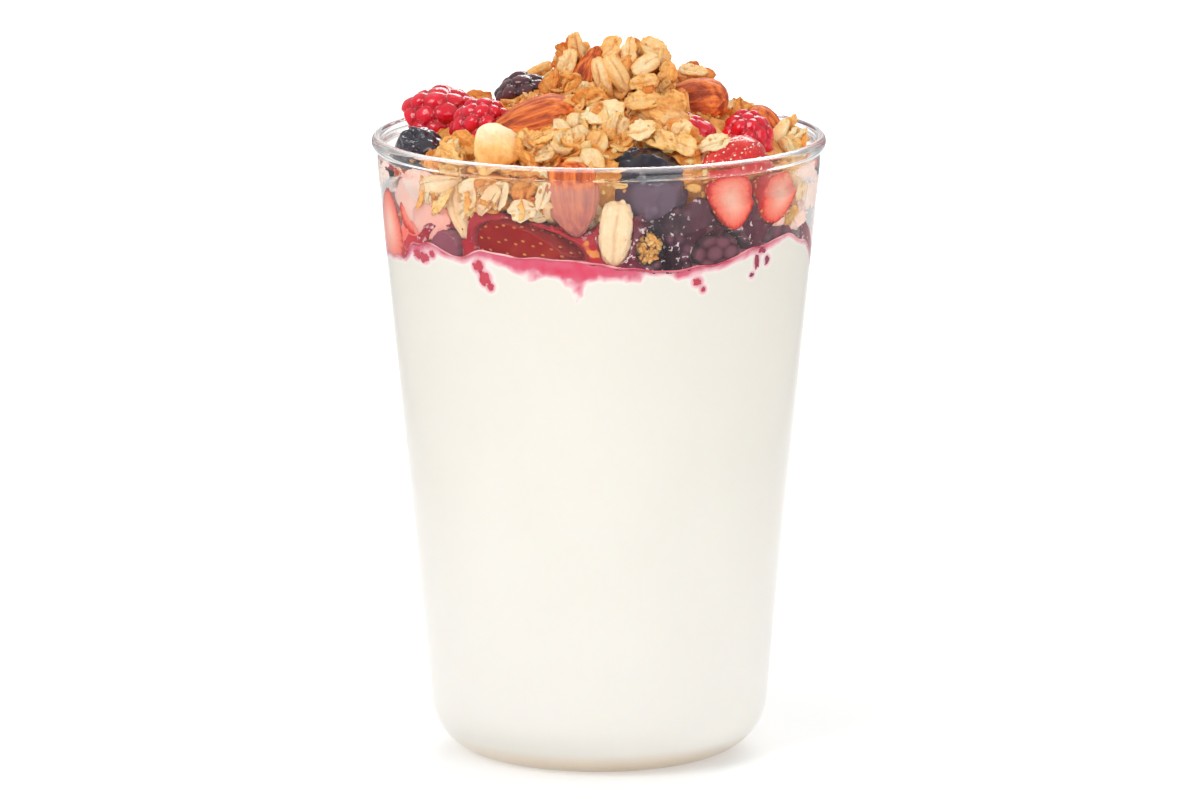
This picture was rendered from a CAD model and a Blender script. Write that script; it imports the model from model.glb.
"""Looks for a tall glass of yogurt under a juicy berry layer, berries, almonds and toasted oats.

Lengths are in metres unless a name or a table says mm. Angles round the glass are in degrees from
the front, growing towards +X. Each topping has a frame of its own: X along its long axis, Z the way
its broad or cut face looks. The attribute "own" holds a point's place on the unit ball or unit plate
that its piece was shaped from, so that a material can follow the piece whatever its size.
"""

import math
import random

import bmesh
import bpy
import numpy as np
from mathutils import Matrix, Vector, noise


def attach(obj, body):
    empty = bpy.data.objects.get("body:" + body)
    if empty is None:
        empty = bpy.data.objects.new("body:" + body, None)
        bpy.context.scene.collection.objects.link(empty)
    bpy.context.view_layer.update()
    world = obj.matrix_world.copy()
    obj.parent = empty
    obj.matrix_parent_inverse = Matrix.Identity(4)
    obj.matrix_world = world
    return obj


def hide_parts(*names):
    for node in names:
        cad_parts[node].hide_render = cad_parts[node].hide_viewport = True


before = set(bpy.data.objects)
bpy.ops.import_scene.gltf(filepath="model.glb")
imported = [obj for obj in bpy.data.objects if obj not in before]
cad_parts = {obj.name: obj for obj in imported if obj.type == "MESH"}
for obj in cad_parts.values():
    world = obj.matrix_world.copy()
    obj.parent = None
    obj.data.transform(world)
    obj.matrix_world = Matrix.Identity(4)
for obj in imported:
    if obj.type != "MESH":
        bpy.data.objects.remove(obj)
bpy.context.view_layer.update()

MM = 0.001
UP = np.array((0.0, 0.0, 1.0))
GOLDEN_ANGLE = 137.508
# Degrees from one large flake of a clump to the next
CLUMP_TURN = 137.5

# Camera: the photograph's frame is 1200 by 799 pixels
FRAME_WIDTH = 1200
CAMERA_TARGET = Vector((0, 0, 0.065))
CAMERA_DISTANCE = 1.5
CAMERA_ELEVATION = 10.903
CAMERA_LENS = 230.85
CAMERA_SENSOR = 36
AXIS_PIXEL = (598.79, 419.71)
FRAME_CENTRE = (600, 399.5)

# Lamps: name, place, size and power
LAMP_TARGET = (0, 0, 0.08)
LAMPS = (
    ("key", (-0.55, -0.55, 0.85), (0.5, 0.5), 5.2),
    ("fill", (0.6, -0.9, 0.5), (0.6, 0.6), 3.1),
    ("back", (0.2, 0.8, 0.8), (0.7, 0.4), 5.0),
)

# Brightness of the studio as a light, and as seen in gloss and glass
SKY_LIGHT = 0.56
SKY_IN_FRONT = 0.16
SKY_BEHIND = 1.1
SKY_ABOVE = 0.75
SKY_OVERHEAD = 6.0
SKY_ASIDE = 0.55

# Glass, in mm. Its rim is an oval rolled from one angle through another
WALL_RADIUS_AT_BASE = 32.0
WALL_SLOPE = 0.0943
WALL_THICKNESS = 1.7
FOOT_CORNER = 11.1
FLOOR_THICKNESS = 3.2
CAVITY_CORNER = 8.6
PUNT_RADIUS = 17.0
PUNT_DEPTH = 0.8
RIM_FOOT = 115.4
RIM_CENTRE = (42.98, 120.12)
RIM_HALF = (1.02, 1.38)
RIM_ROLL = (-62, 250)
RIM_STEPS = 28
GLASS_SIDES = 180

# How far in mm the contents and the pressed toppings reach into the wall, and how far from it a
# topping may lie to be pressed to it
INTO_WALL = 0.25
PRESSED_PROUD = 0.12
PRESSED_FROM = 1.1

# Height in mm of the yogurt where it meets the wall, by angle
YOGURT_LINE = (
    (-180, 101.0), (-152, 102.6), (-120, 100.4), (-88, 98.6), (-76, 99.4), (-66, 100.3),
    (-59, 103.4), (-51, 104.1), (-41, 102.3), (-32, 104.2), (-20, 103.4), (-7, 103.3),
    (9, 101.6), (20, 100.9), (31, 101.4), (47, 103.7), (60, 105.2), (72, 102.6),
    (88, 96.9), (118, 99.6), (150, 102.2),
)
YOGURT_CENTRE = 105.0
COMPOTE_AT_WALL = 5.5
COMPOTE_RISE = (
    (-180, 6.0), (-120, 5.5), (-80, 5.5), (-50, 6.0), (-36, 8.5), (-14, 6.5), (-4, 6.0), (3, 9.0),
    (20, 12.0), (34, 13.0), (48, 9.5), (60, 7.0), (90, 5.5), (130, 9.0), (155, 6.0),
)
COMPOTE_CENTRE = 112.0
COMPOTE_SUNK = 0.3
COMPOTE_SUNK_AT_WALL = 0.35
CONTENT_SIDES = 480
# The yogurt's rows of points are fine above this height in mm
FINE_FROM = 90
# The berry layer stays off the wall by this much at a fruit that is pressed to it, and at its upper edge
COMPOTE_ROWS = 34
INSET_AT_FRUIT = 3.2
INSET_AT_TOP = 2.2

# Depth in mm that juice has stained the yogurt below its line, by angle
STAIN = (
    (-180, 0.8), (-160, 2.6), (-150, 5.0), (-142, 2.0), (-115, 0.8), (-96, 0.5), (-80, 0.5),
    (-66, 0.7), (-58, 1.6), (-50, 0.9), (-41, 0.8), (-34, 1.3), (-31, 1.9), (-26, 1.9),
    (-23, 2.4), (-19, 3.4), (-16, 2.8), (-11, 3.0), (-8.6, 4.1), (-5.6, 5.8), (-2.6, 3.8),
    (0, 2.6), (4, 2.2), (11, 1.9), (13, 0.7), (19, 0.6), (22, 1.4), (28, 1.6), (30, 1.0), (45, 1.1),
    (52, 1.4), (60, 0.6), (76, 0.6), (86, 1.4), (100, 0.7), (128, 3.4), (136, 1.0), (160, 0.8),
)

# Shreds of fruit sunk in the yogurt at the wall: angle, height, half width and half height in mm, and red
SHREDS = (
    (-58.0, 101.6, 1.5, 1.1, 1.0), (-54.5, 101.3, 1.6, 1.2, 0.9), (-51.0, 102.3, 0.9, 0.9, 0.9),
    (-34.2, 101.3, 1.3, 1.5, 1.0), (-32.2, 98.9, 1.4, 1.7, 0.95), (-30.6, 97.4, 0.8, 0.9, 0.8),
    (27.6, 98.6, 1.1, 0.9, 0.9), (29.4, 97.0, 0.5, 0.6, 0.5), (47.6, 101.2, 0.7, 1.8, 0.35),
    (49.5, 103.2, 1.0, 0.8, 0.3), (51.8, 101.0, 0.8, 1.1, 0.2), (46.0, 98.6, 0.6, 0.5, 0.1),
    (98.0, 97.2, 1.2, 1.0, 0.8), (126.0, 96.0, 1.6, 1.8, 0.9), (150.0, 99.0, 1.0, 1.3, 0.6),
    (-150.0, 97.8, 1.5, 2.2, 0.9), (-118.0, 97.6, 1.2, 1.0, 0.5), (-100.0, 96.4, 0.8, 1.0, 0.9),
)
# Juice runs from a shred over this many mm of the wall
HALO = 0.8
WALL_MM_PER_DEGREE = 0.69

# Yogurt and juice smeared on the glass beside the fruit: angle, height, half width and half height in
# mm, how red, and how far into the wall. Each lies a step further out than the one before, so that no
# two share a face.
SMEARS = (
    (-62.0, 112.0, 6.0, 5.0, 0.75, -0.25), (-53.0, 109.0, 5.5, 4.6, 0.95, -0.25),
    (-56.0, 115.0, 6.5, 3.2, 0.45, -0.25), (-84.0, 114.8, 6.0, 3.4, 0.3, 0.3),
    (-61.5, 104.8, 5.0, 5.0, 1.35, 0.0), (79.0, 112.2, 6.6, 5.2, 0.35, 0.3),
    (61.0, 108.4, 4.4, 2.0, 0.6, -0.25), (69.0, 107.6, 4.8, 2.6, 0.5, 0.3),
    (-104.0, 111.0, 5.0, 3.2, 0.6, -0.25), (-152.0, 113.0, 4.6, 2.8, 0.6, -0.25),
)
SMEAR_STEP = 0.01

# How dark the crushed berries are at the wall, from red at 0 to near black at 1, by angle
COMPOTE_TONE = (
    (-180, 0.5), (-150, 0.9), (-115, 0.3), (-85, 0.1), (-60, 0.05), (-46, 0.3), (-36, 0.2),
    (-22, 0.08), (0, 0.12), (8, 0.5), (16, 1.0), (30, 0.85), (50, 0.75), (66, 0.6), (82, 0.2),
    (105, 0.7), (140, 0.3),
)

# Bare core of the granola heap
HEAP_TOP = 131.0
HEAP_FALL = 13.0
HEAP_SPAN = 39.0
HEAP_POWER = 1.6
HEAP_FROM_WALL = 5.0
HEAP_ROUGHNESS = 1.3
HEAP_SUNK = 1.5
HEAP_SIDES = 300

# Clumps of granola: centre and half sizes in mm, number of flakes, seed
CLUMPS = (
    (6.2, -6.0, 133.6, 6.0, 4.8, 4.8, 12, 11),
    (-4.6, 2.4, 133.2, 3.0, 3.4, 5.4, 6, 12),
    (0.6, -20.0, 124.8, 5.0, 4.2, 4.0, 8, 13),
    (11.0, -14.5, 127.9, 5.8, 3.8, 3.0, 7, 14),
    (11.6, -24.5, 123.6, 6.0, 3.6, 2.8, 7, 15),
    (-10.4, -29.0, 122.2, 5.2, 3.8, 3.4, 7, 16),
    (-27.0, -23.0, 120.6, 3.6, 3.6, 3.2, 5, 17),
    (-2.4, -12.5, 129.6, 3.8, 3.4, 3.0, 5, 18),
    (-6.6, -6.5, 131.6, 2.8, 2.8, 2.2, 4, 19),
    (36.4, -1.5, 119.4, 3.2, 4.0, 3.4, 5, 20),
    (17.6, 5.5, 130.4, 3.2, 3.0, 2.4, 4, 21),
    (27.4, 5.0, 122.8, 3.8, 3.8, 3.0, 4, 22),
    (-19.4, -32.4, 113.9, 4.4, 3.8, 3.2, 6, 23),
    (-29.4, -24.4, 113.4, 3.2, 3.4, 3.0, 4, 24),
    (-11.4, -34.8, 112.8, 3.6, 3.2, 3.0, 4, 25),
    (35.0, -14.0, 111.8, 3.4, 3.2, 2.6, 3, 26),
    (-9.0, 15.5, 127.8, 5.4, 4.6, 3.6, 7, 27),
    (13.0, 17.0, 126.4, 5.6, 4.6, 3.6, 7, 28),
    (-24.0, 12.0, 122.8, 4.2, 4.0, 3.4, 5, 29),
    (2.0, 27.0, 121.6, 5.2, 3.8, 3.4, 6, 30),
    (-15.5, 31.5, 115.0, 4.4, 3.8, 3.4, 5, 31),
    (12.0, 34.6, 113.4, 4.4, 3.4, 3.2, 5, 32),
    (34.4, 11.5, 115.0, 3.8, 3.8, 3.4, 4, 33),
)
CLUMP_CORE = 0.84
FLAKE_SIZE = (7.4, 5.4)
KERNEL_HALF = (4.3, 1.8, 1.5)
# Small flakes and crumbs are spread over the heap this far from the axis
SCATTER_RADIUS = 37.5
FLAKES_ON_HEAP = 430
CRUMBS_ON_HEAP = 1150

# Toppings: centre in mm, long axis, face, half sizes in mm along the long axis, across and along face
RASPBERRIES = (
    ("raspberry_1", (-30.4, 4.2, 123.2), (0.95, 0.1, 0.3), (0, -0.6, 0.8), (8.2, 7.2)),
    ("raspberry_2", (-22.4, -9.4, 123.6), (0.25, -0.4, 0.88), (-0.6, -0.8, 0), (6.9, 6.3)),
    ("raspberry_3", (17.2, -15.6, 122.4), (-0.5, -0.2, 0.8), (0, -1, 0), (6.2, 5.8)),
    ("raspberry_4", (28.2, -10.4, 121.4), (0.3, -0.35, 0.9), (0, -1, 0), (6.6, 5.9)),
    ("raspberry_5", (-20.2, 23.4, 117.3), (-0.3, 0.5, 0.8), (0, 1, 0), (6.8, 6.2)),
    ("raspberry_6", (23.0, 18.5, 117.3), (0.8, 0.4, 0.3), (0, 0, 1), (7.2, 6.4)),
)
BRAMBLES = (
    ("bramble_1", (-13.8, 6.2, 126.8), (0.9, -0.2, 0.35), (0, 0, 1), (6.9, 6.0)),
    ("bramble_2", (19.9, -28.9, 103.8), (0.9, 0.3, 0.0), (0, 0, 1), (6.6, 5.5)),
    ("bramble_3", (30.2, -18.2, 103.8), (0.55, 0.8, 0.1), (0, 0, 1), (6.6, 5.5)),
    ("bramble_4", (-33.3, 13.3, 111.6), (0.4, 0.8, 0.3), (0, 0, 1), (6.6, 5.6)),
    ("bramble_5", (25.5, 24.6, 105.4), (-0.7, 0.7, 0.0), (0, 0, 1), (6.6, 5.5)),
)
BLUEBERRIES = (
    ("blueberry_1", (-34.4, -8.6, 118.8), (-0.3, -0.5, 0.8), (0, 1, 0), (5.2, 5.3)),
    ("blueberry_2", (8.7, -29.8, 114.6), (-0.6, 0.2, 0.77), (0, 1, 0), (8.5, 8.8)),
    ("blueberry_3", (-26.2, -25.2, 103.9), (0.2, 0.8, 0.5), (1, 0, 0), (4.2, 4.4)),
    ("blueberry_4", (-31.0, 17.0, 122.2), (-0.3, 0.6, 0.7), (1, 0, 0), (4.9, 5.1)),
    ("blueberry_5", (-2.7, 36.2, 112.6), (0.1, 0.9, 0.4), (1, 0, 0), (5.2, 5.4)),
)
# A blueberry whose middle is lower than this in mm lies in the berry layer
IN_COMPOTE = 108
# Juice and yogurt haze what is pressed to the glass. The haze fades out between these heights in m
HAZE_FADES = (0.1165, 0.1195)
ALMONDS = (
    ("almond_1", (-12.6, -15.8, 126.4), (-0.95, -0.1, -0.26), (-0.1, -0.6, 0.8), (8.8, 4.7, 3.1)),
    ("almond_2", (-2.0, -4.2, 131.0), (0.22, 0.0, 0.97), (-0.3, -0.9, 0.1), (8.4, 4.2, 2.8)),
    ("almond_3", (17.0, -4.4, 127.9), (-0.95, 0.1, -0.2), (0.1, -0.8, 0.6), (8.2, 4.6, 3.3)),
    ("almond_4", (32.8, 1.6, 120.6), (0.5, -0.3, -0.8), (0.3, -0.9, 0.4), (6.8, 3.6, 2.7)),
    ("almond_5", (-4.8, -38.6, 114.9), (0.12, 0.0, -0.99), (-0.12, -1.0, 0), (7.2, 4.9, 2.1)),
    ("almond_6", (2.4, 11.0, 129.6), (0.8, 0.5, 0.1), (-0.3, 0.5, 0.8), (8.4, 4.5, 3.0)),
    ("almond_7", (-10.4, 27.4, 122.8), (-0.7, 0.5, -0.3), (0.3, 0.6, 0.7), (8.4, 4.6, 3.0)),
)
STRAWBERRY_HALVES = (
    ("strawberry_1", (25.4, -25.0, 119.2), (-0.75, -0.66, 0.0), (0.0, 0.0, -1.0), (7.4, 4.9, 5.2)),
    ("strawberry_2", (24.6, -31.0, 113.4), (0.05, 0.1, -0.99), (0.58, -0.81, 0.0), (5.4, 4.7, 3.6)),
    ("strawberry_4", (-37.5, -10.0, 105.4), (-0.1, -0.2, 0.97), (-0.95, -0.3, 0), (7.6, 6.4, 4.4)),
    ("strawberry_5", (-32.2, -18.9, 111.0), (0.3, 0.2, 0.9), (-0.6, -0.8, 0.1), (6.0, 4.4, 3.4)),
    ("strawberry_6", (-11.8, -33.8, 105.4), (0.93, -0.28, -0.22), (0.29, 0.96, 0.05), (10.8, 5.2, 4.7)),
    ("strawberry_7", (11.6, 33.3, 104.8), (-0.9, 0.3, 0.1), (-0.3, -0.9, 0.0), (9.4, 6.0, 5.0)),
    ("strawberry_8", (-21.7, 32.4, 105.6), (-0.7, -0.5, 0.5), (-0.5, 0.85, 0), (8.0, 5.6, 3.6)),
)
STEEPED = "strawberry_6"
FLAT_AT_GLASS = "strawberry_4"
STRAWBERRY_TAPER = 0.34
STRAWBERRY_SLICES = (
    ("strawberry_3", (32.5, -21.1, 113.0), (0.5, 0.75, 0.45), (0.84, -0.545, 0), (6.6, 3.8, 1.3)),
    ("strawberry_9", (37.7, 3.8, 103.2), (0.0, 0.2, 1.0), (0.99, 0.1, 0), (7.0, 4.4, 1.4)),
)
BLANCHED_NUT = ("nut_half_1", (-18.6, -29.6, 123.4), (1.0, 0.1, -0.1), (-0.2, -0.8, 0.5), (5.2, 4.4, 1.9))
OAT_KERNELS = (
    ("oat_kernel_1", (3.1, -38.6, 108.3), (0.1, 0.0, 1.0), (0.08, -1.0, 0.0), (6.2, 3.3, 1.3)),
    ("oat_kernel_2", (-26.0, -28.6, 110.6), (-0.35, 0.3, 0.9), (-0.67, -0.74, 0.0), (5.2, 2.3, 1.3)),
)
# Oat clusters pressed to the glass under the granola line, as toppings are
OAT_CLUSTERS = (
    ("cluster_1", (9.3, -38.2, 105.6), (0.2, 0.0, 1.0), (0.24, -0.97, 0), (3.3, 2.4, 1.7)),
    ("cluster_2", (35.4, -18.6, 108.6), (0.45, 0.85, 0.3), (0.88, -0.47, 0), (2.7, 1.6, 1.3)),
)
TOPPINGS = (
    *OAT_CLUSTERS, *RASPBERRIES, *BRAMBLES, *BLUEBERRIES, *ALMONDS, *STRAWBERRY_HALVES, *STRAWBERRY_SLICES,
    BLANCHED_NUT, *OAT_KERNELS,
)

# Flakes that stand out: centre in mm, long axis, face, half length and half width in mm, how much the
# sides curl up, and shade from 0, pale, to 1, brown
FLAKES = (
    (2.6, -8.2, 139.3, (0.6, 0.0, 0.8), (-0.3, -0.9, 0.3), 2.6, 1.9, 0.5, 0.5),
    (6.0, -9.4, 138.6, (0.1, 0.0, 1.0), (-0.4, -0.9, 0.0), 3.2, 1.7, 0.2, 0.2),
    (10.4, -7.6, 139.0, (0.9, 0.0, -0.3), (0.1, -0.8, 0.6), 2.8, 2.0, 0.3, 0.3),
    (12.0, -9.2, 136.8, (0.0, 0.0, 1.0), (0.7, -0.7, 0.1), 2.6, 1.6, 0.3, 0.4),
    (13.1, -10.6, 134.9, (0.15, 0.0, 1.0), (0.1, -1.0, 0.2), 2.3, 1.9, 0.9, 0.7),
    (8.6, -12.4, 133.0, (1.0, 0.0, 0.2), (0.0, -0.9, 0.4), 3.0, 1.9, 0.2, 0.5),
    (12.8, -11.0, 131.8, (0.8, 0.0, 0.6), (0.2, -0.9, 0.3), 2.2, 1.6, 0.3, 0.4),
    (18.2, 0.2, 133.4, (1.0, 0.0, -0.1), (0.0, -0.4, 0.9), 2.8, 2.0, 0.2, 0.1),
    (9.0, -18.2, 130.4, (1.0, 0.0, 0.12), (0.0, -0.7, 0.7), 4.2, 2.2, 0.15, 0.4),
    (13.3, -19.4, 128.2, (0.9, 0.0, -0.35), (0.15, -0.95, 0.3), 4.1, 2.6, 0.55, 0.6),
    (0.9, -22.4, 128.3, (1.0, 0.0, 0.25), (0.0, -0.65, 0.75), 4.4, 2.6, 0.2, 0.0),
    (3.4, -24.6, 126.6, (0.3, 0.0, 0.95), (0.3, -1.0, 0.2), 2.9, 2.2, 0.2, 0.15),
    (-4.6, -16.2, 129.2, (0.6, 0.0, 0.8), (-0.2, -0.9, 0.4), 2.6, 2.0, 0.4, 0.5),
    (-1.3, -15.8, 130.8, (0.9, 0.0, 0.4), (0.1, -0.8, 0.6), 2.5, 1.8, 0.3, 0.4),
    (-2.8, -14.6, 132.3, (0.1, 0.0, 1.0), (0.0, -1.0, 0.1), 1.6, 1.1, 0.2, 0.0),
    (8.4, -28.4, 126.2, (0.9, 0.0, 0.3), (0.0, -0.8, 0.6), 2.8, 2.2, 0.3, 0.1),
    (12.6, -28.8, 124.5, (0.6, 0.0, -0.8), (0.1, -1.0, 0.2), 2.6, 2.0, 0.3, 0.6),
    (16.2, -28.2, 123.4, (0.9, 0.1, -0.4), (0.2, -0.9, 0.4), 2.6, 2.1, 0.4, 0.5),
    (15.6, -26.6, 126.0, (0.7, 0.0, 0.7), (0.1, -0.8, 0.5), 2.4, 1.9, 0.3, 0.3),
    (21.8, -26.8, 123.4, (0.9, 0.0, 0.34), (0.0, -0.8, 0.6), 3.3, 1.8, 0.2, 0.0),
    (-4.1, -1.2, 138.4, (-0.15, 0.0, 1.0), (-0.3, -0.95, 0.0), 3.2, 1.7, 0.3, 0.3),
    (-5.8, -2.4, 135.4, (0.2, 0.0, 1.0), (-0.5, -0.85, 0.0), 3.0, 2.0, 0.3, 0.2),
    (-5.8, -3.6, 131.8, (0.6, 0.0, 0.8), (-0.2, -0.95, 0.2), 2.6, 2.0, 0.3, 0.3),
    (-7.0, -30.8, 124.4, (0.3, 0.0, 0.95), (0.1, -1.0, 0.2), 2.9, 2.0, 0.5, 0.5),
    (-10.8, -32.4, 122.4, (0.9, 0.0, 0.3), (-0.1, -0.8, 0.6), 2.6, 1.9, 0.3, 0.3),
    (-13.2, -30.4, 125.2, (0.6, 0.0, -0.8), (-0.2, -0.9, 0.4), 2.4, 1.8, 0.3, 0.4),
    (-27.6, -26.4, 121.4, (0.8, 0.3, -0.5), (-0.3, -0.8, 0.5), 2.9, 2.0, 0.3, 0.7),
    (37.8, -3.6, 120.6, (0.3, 0.0, 0.95), (0.3, -0.9, 0.2), 2.7, 1.9, 0.2, 0.0),
    (35.6, -6.0, 118.4, (0.8, 0.2, 0.5), (0.3, -0.9, 0.3), 2.6, 1.9, 0.3, 0.1),
    (-33.4, -21.0, 110.9, (0.5, -0.85, 0.1), (-0.75, -0.6, 0.3), 2.4, 1.1, 0.2, 0.1),
    (-30.0, -25.8, 114.6, (0.5, -0.4, 0.8), (-0.76, -0.65, 0.0), 2.9, 2.2, 0.3, 0.2),
    (-23.2, -32.4, 115.4, (0.8, -0.5, 0.2), (-0.58, -0.81, 0.0), 3.6, 2.8, 0.2, 0.0),
    (-18.2, -35.4, 115.2, (0.2, -0.1, 1.0), (-0.45, -0.89, 0.0), 3.0, 2.0, 0.5, 0.1),
    (-14.2, -37.0, 112.6, (0.9, -0.3, 0.1), (-0.36, -0.93, 0.0), 2.9, 2.1, 0.2, 0.0),
    (-10.1, -38.4, 115.8, (0.3, 0.0, 0.95), (-0.26, -0.96, 0.0), 3.2, 1.4, 0.2, 0.0),
    (-24.8, -31.2, 111.8, (0.7, -0.5, 0.4), (-0.62, -0.78, 0.0), 2.2, 1.6, 0.3, 0.5),
)
# Plump oats with a groove: centre, long axis, face, half sizes in mm, and shade
PLUMP_OATS = (
    (0.7, -11.6, 134.0, (-0.28, 0.0, 0.96), (-0.5, -0.87, 0.0), (4.0, 1.75, 1.5), 0.15),
    (3.6, -11.8, 134.8, (-0.5, 0.0, 0.86), (0.35, -0.94, 0.1), (4.3, 1.9, 1.6), 0.3),
    (8.9, -11.4, 136.5, (0.85, 0.0, 0.5), (-0.2, -0.9, 0.35), (2.9, 1.8, 1.4), 0.0),
    (-3.1, -25.0, 124.4, (0.5, 0.0, -0.85), (0.0, -0.9, 0.4), (2.6, 1.9, 1.5), 0.0),
)

# Drupelets: name, colour in the creases, between and on the beads, roughness, glow, and gloss if not 1
DRUPE_LOOKS = (
    ("raspberry", (0.05, 0.0, 0.002), (0.44, 0.001, 0.011), (0.76, 0.006, 0.028), 0.2, 0.1),
    ("bramble", (0.006, 0.001, 0.003), (0.028, 0.006, 0.011), (0.11, 0.026, 0.034), 0.16, 0.05),
    ("sunk_bramble", (0.012, 0.003, 0.006), (0.06, 0.014, 0.024), (0.19, 0.066, 0.092), 0.4, 0.1, 0.0),
)
# Strawberries in the open, behind the glass and steeped: gloss, depth of red, two colours of the seeds
STRAWBERRY_LOOKS = {
    "": (1.0, 1.0, (0.9, 0.6, 0.35), (0.95, 0.85, 0.7)),
    "sunk_": (0.0, 1.0, (0.6, 0.2, 0.04), (0.8, 0.45, 0.12)),
    "steeped_": (0.0, 0.45, (0.4, 0.08, 0.02), (0.62, 0.26, 0.06)),
}
# Oats: colours from raw to toasted, how much more toasted, and whether yogurt smears what is at the glass
PALE_OATS = (
    ((0.3, (1.0, 0.83, 0.52)), (0.62, (1.0, 0.54, 0.17)), (0.9, (0.66, 0.15, 0.018))), -0.05, True,
)
GOLDEN_OATS = (
    ((0.3, (1.0, 0.72, 0.33)), (0.62, (1.0, 0.46, 0.115)), (0.9, (0.62, 0.125, 0.014))), 0.0, False,
)

# ---------------------------------------------------------------- shapes as arrays, in mm


def band(low, high, sides):
    """Two triangles for each side between the rings of points that start at low and at high."""
    this = np.arange(sides)
    after = (this + 1) % sides
    first = np.stack([low + this, low + after, high + after], 1)
    return np.concatenate([first, np.stack([low + this, high + after, high + this], 1)])


def ringed(rings, low, high):
    """A closed surface through rings of points, with a pole at each end."""
    rows, sides, _ = rings.shape
    points = np.concatenate([rings.reshape(-1, 3), [low, high]])
    this, top, pole = np.arange(sides), (rows - 1) * sides, rows * sides
    after = (this + 1) % sides
    faces = [band(row * sides, (row + 1) * sides, sides) for row in range(rows - 1)]
    faces.append(np.stack([after, this, 0 * this + pole], 1))
    faces.append(np.stack([top + this, top + after, 0 * this + pole + 1], 1))
    return points, np.concatenate(faces)


def unit_ball(sides, rings):
    """Points and triangles of a unit ball whose poles lie on the X axis."""
    tilt = np.linspace(0, math.pi, rings + 1)[1:-1]
    turn = np.arange(sides) * math.tau / sides
    along = -np.cos(tilt)[:, None] + 0 * turn
    across = np.sin(tilt)[:, None] * np.cos(turn)
    up = np.sin(tilt)[:, None] * np.sin(turn)
    return ringed(np.stack([along, across, up], axis=2), (-1, 0, 0), (1, 0, 0))


def ico_ball(level):
    """Points and triangles of a unit ball split from an icosahedron."""
    shape = bmesh.new()
    bmesh.ops.create_icosphere(shape, subdivisions=level, radius=1)
    points = np.array([vert.co for vert in shape.verts], float)
    faces = np.array([[vert.index for vert in face.verts] for face in shape.faces])
    shape.free()
    return points / np.linalg.norm(points, axis=1)[:, None], faces


def roughness_at(points, scale, seed, octaves=1):
    """Smooth noise from -1 to 1 at each point, with finer noise added for each further octave."""
    total = np.zeros(len(points))
    for octave in range(octaves):
        places = points * (scale * 2**octave) + (seed * 7.3, 3.1 * octave, seed)
        total += np.array([noise.noise(place) for place in places.tolist()]) / 2**octave
    return total


def bump_at(distance, reach):
    """1 at no distance, easing to 0 at reach."""
    share = np.clip(1 - (distance / reach) ** 2, 0, 1)
    return share * share


def turned_rows(table, degrees):
    """The value that a table gives at each angle, eased between its rows all the way round."""
    angles = np.array([row[0] for row in table] + [table[0][0] + 360], float)
    values = np.array([row[1] for row in table] + [table[0][1]], float)
    degrees = (np.asarray(degrees, float) + 180) % 360 - 180
    left = np.clip(np.searchsorted(angles, degrees, side="right") - 1, 0, len(angles) - 2)
    share = (degrees - angles[left]) / (angles[left + 1] - angles[left])
    eased = (1 - np.cos(math.pi * share)) / 2
    return values[left] + (values[left + 1] - values[left]) * eased


def angles_round(sides):
    return np.arange(sides) * 360 / sides


def way_out(degrees):
    """The direction away from the axis at one angle."""
    angle = math.radians(degrees)
    return math.sin(angle), -math.cos(angle), 0


def round_axis(degrees, radius, z):
    """Points at these angles, distances from the axis and heights."""
    angle = np.radians(degrees)
    return np.stack(np.broadcast_arrays(radius * np.sin(angle), -radius * np.cos(angle), z), -1)


def from_axis(points):
    return np.hypot(points[:, 0], points[:, 1])


def cavity_radius(z):
    return WALL_RADIUS_AT_BASE - WALL_THICKNESS + WALL_SLOPE * z


def on_wall(degrees, z, proud):
    """Points on the inner wall at these angles and heights, moved towards the outside by proud."""
    return round_axis(degrees, cavity_radius(z) + proud, z)


def yogurt_line(degrees):
    ripple = 0.12 * np.sin(np.radians(degrees) * 17) + 0.08 * np.sin(np.radians(degrees) * 41 + 1)
    return turned_rows(YOGURT_LINE, degrees) + ripple


def yogurt_top(degrees, radius):
    share = (radius / cavity_radius(YOGURT_CENTRE)) ** 2
    return YOGURT_CENTRE + (yogurt_line(degrees) - YOGURT_CENTRE) * share


def compote_top(degrees, radius):
    share = (radius / cavity_radius(COMPOTE_CENTRE)) ** 2
    return COMPOTE_CENTRE + (yogurt_line(degrees) + COMPOTE_AT_WALL - COMPOTE_CENTRE) * share


def heap_top(degrees, radius):
    places = round_axis(degrees, radius, 0).reshape(-1, 3)
    fall = HEAP_FALL * (radius / HEAP_SPAN) ** HEAP_POWER
    return HEAP_TOP - fall + HEAP_ROUGHNESS * roughness_at(places / 9, 1, 0).reshape(fall.shape)


def surface_rings(top, radii, sides):
    """Rings on a top surface at these distances from the axis."""
    angles = angles_round(sides)
    radii = np.array(radii, float)[:, None] + 0 * angles
    return round_axis(angles, radii, top(angles, radii))


def pulled_in(points, share):
    """Points with each one's distance from the axis multiplied by its share."""
    return points * np.stack([share, share, 1 + 0 * share], 1)


def clamp_to_wall(points, proud):
    """Flattens whatever would cross the inside of the glass against it."""
    radius = from_axis(points)
    limit = cavity_radius(points[:, 2]) + proud
    return pulled_in(points, np.where((radius > limit) & (points[:, 2] < RIM_CENTRE[1]), limit / radius, 1))


def pressed_to_wall(points, far=PRESSED_FROM):
    """Swells a topping that lies near the glass, so that its near side is flat against it."""
    radius = from_axis(points)
    limit = cavity_radius(points[:, 2]) + PRESSED_PROUD
    gap = np.maximum(limit - radius, 0)
    reach = far * np.clip((RIM_FOOT - points[:, 2]) / 3, 0, 1)
    left = np.maximum(gap - reach, 0) * 2
    share = (limit - np.minimum(gap, left)) / radius
    return pulled_in(points, np.where(points[:, 2] < RIM_CENTRE[1], share, 1))


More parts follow.
